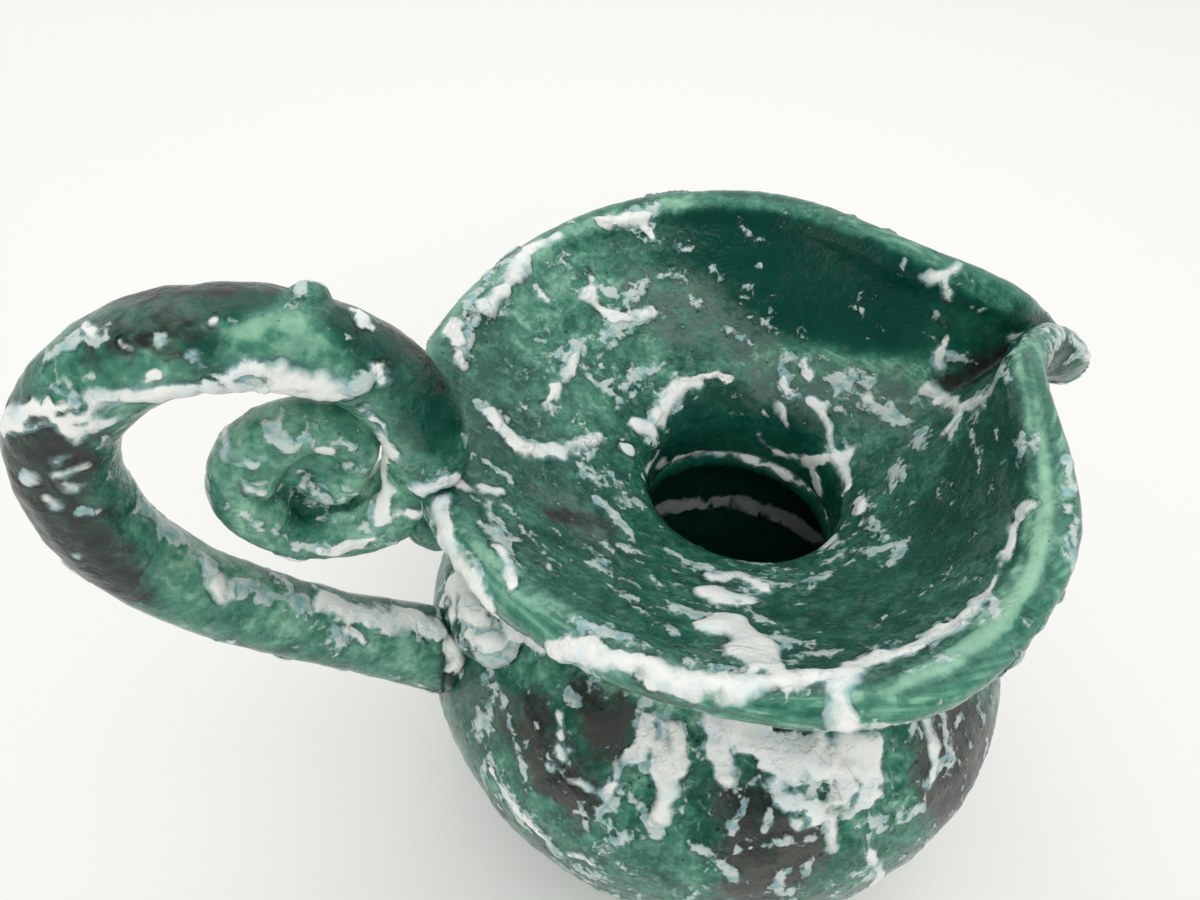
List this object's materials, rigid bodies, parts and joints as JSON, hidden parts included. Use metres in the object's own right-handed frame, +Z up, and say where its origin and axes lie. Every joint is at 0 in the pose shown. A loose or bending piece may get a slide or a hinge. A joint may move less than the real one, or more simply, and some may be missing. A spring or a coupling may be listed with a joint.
{
  "type": "ewer",
  "caption": "Glazed pottery ewer with a round belly, a funnel mouth pinched into a spout, and a coiled handle that ends in a scroll at the rim.",
  "frame": {"origin": "centre of the flat base, on the surface that the ewer stands on", "axes": "+X towards the spout, away from the handle; +Y to the left of the spout; +Z up along the belly's axis"},
  "size_m": [0.2816, 0.192, 0.2269],
  "materials": {
    "green_glaze": "glossy",
    "pale_glaze": "glossy",
    "white_glaze": "satin"
  },
  "bodies": {
    "root": {"belly": "green_glaze", "neck_collar": "green_glaze", "mouth_funnel": "green_glaze", "rim_coil": "pale_glaze", "handle_coil": "green_glaze", "root_wad": "white_glaze", "rim_wad": "white_glaze"}
  },
  "joints": []
}
